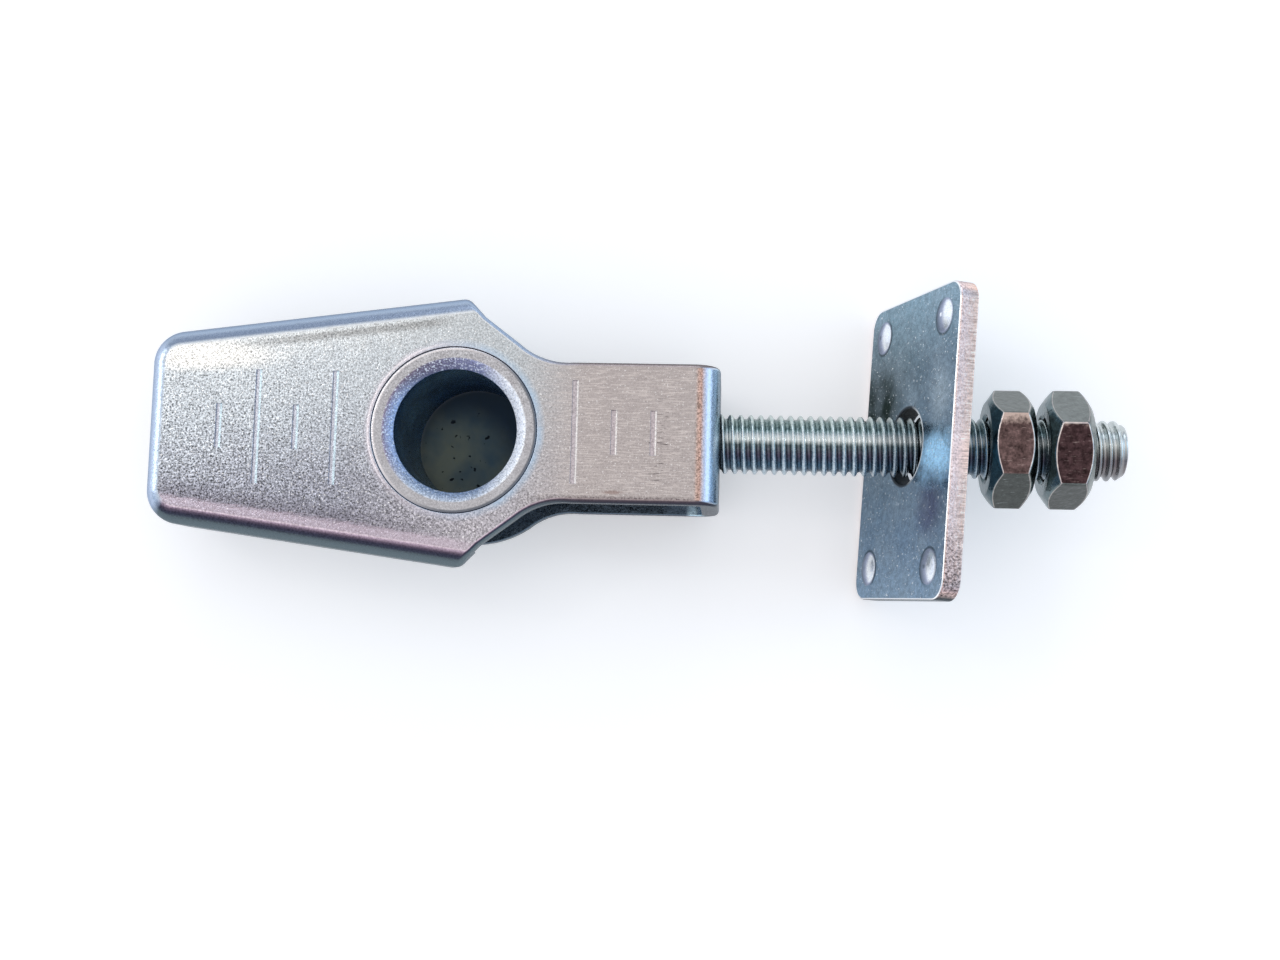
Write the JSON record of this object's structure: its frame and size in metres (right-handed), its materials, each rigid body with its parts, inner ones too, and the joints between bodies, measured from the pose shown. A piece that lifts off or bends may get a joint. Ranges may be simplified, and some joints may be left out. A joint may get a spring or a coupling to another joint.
{
  "type": "chain adjuster",
  "caption": "Folded sheet-steel chain adjuster with an axle bush, index lines, a captive threaded bolt, a loose end plate and hexagon nuts.",
  "frame": {"origin": "where the bolt's axis crosses the axle's axis, half way through the axle bore", "axes": "+X along the bolt towards the nuts, +Z along the axle out of the face with the index lines, +Y across the carrier"},
  "size_m": [0.121, 0.039, 0.025],
  "materials": {
    "carrier_zinc": "bright zinc plate with a coarse, sparkling grain",
    "bush_zinc": "turned steel, zinc plated",
    "bolt_zinc": "rolled thread, blue-grey zinc plate",
    "plate_zinc": "blue-grey zinc plate with sheared edges",
    "nut_zinc": "dark grey-green zinc plate"
  },
  "bodies": {
    "carrier": {"carrier": "carrier_zinc", "axle_bush": "bush_zinc", "adjusting_bolt": "bolt_zinc"},
    "end_plate": {"end_plate": "plate_zinc"},
    "adjusting_nut": {"adjusting_nut": "nut_zinc"},
    "lock_nut": {"lock_nut": "nut_zinc"}
  },
  "joints": [
    {"name": "end_plate_slide", "type": "slide", "parent": "carrier", "child": "end_plate", "axis": [1, 0, 0], "range_m": [-0.0202, 0.0054]},
    {"name": "adjusting_nut_turn", "type": "hinge", "parent": "carrier", "child": "adjusting_nut", "pos_m": [0.0683, 0, 0], "axis": [1, 0, 0], "continuous": true},
    {"name": "lock_nut_turn", "type": "hinge", "parent": "carrier", "child": "lock_nut", "pos_m": [0.07535, 0, 0], "axis": [1, 0, 0], "continuous": true}
  ]
}
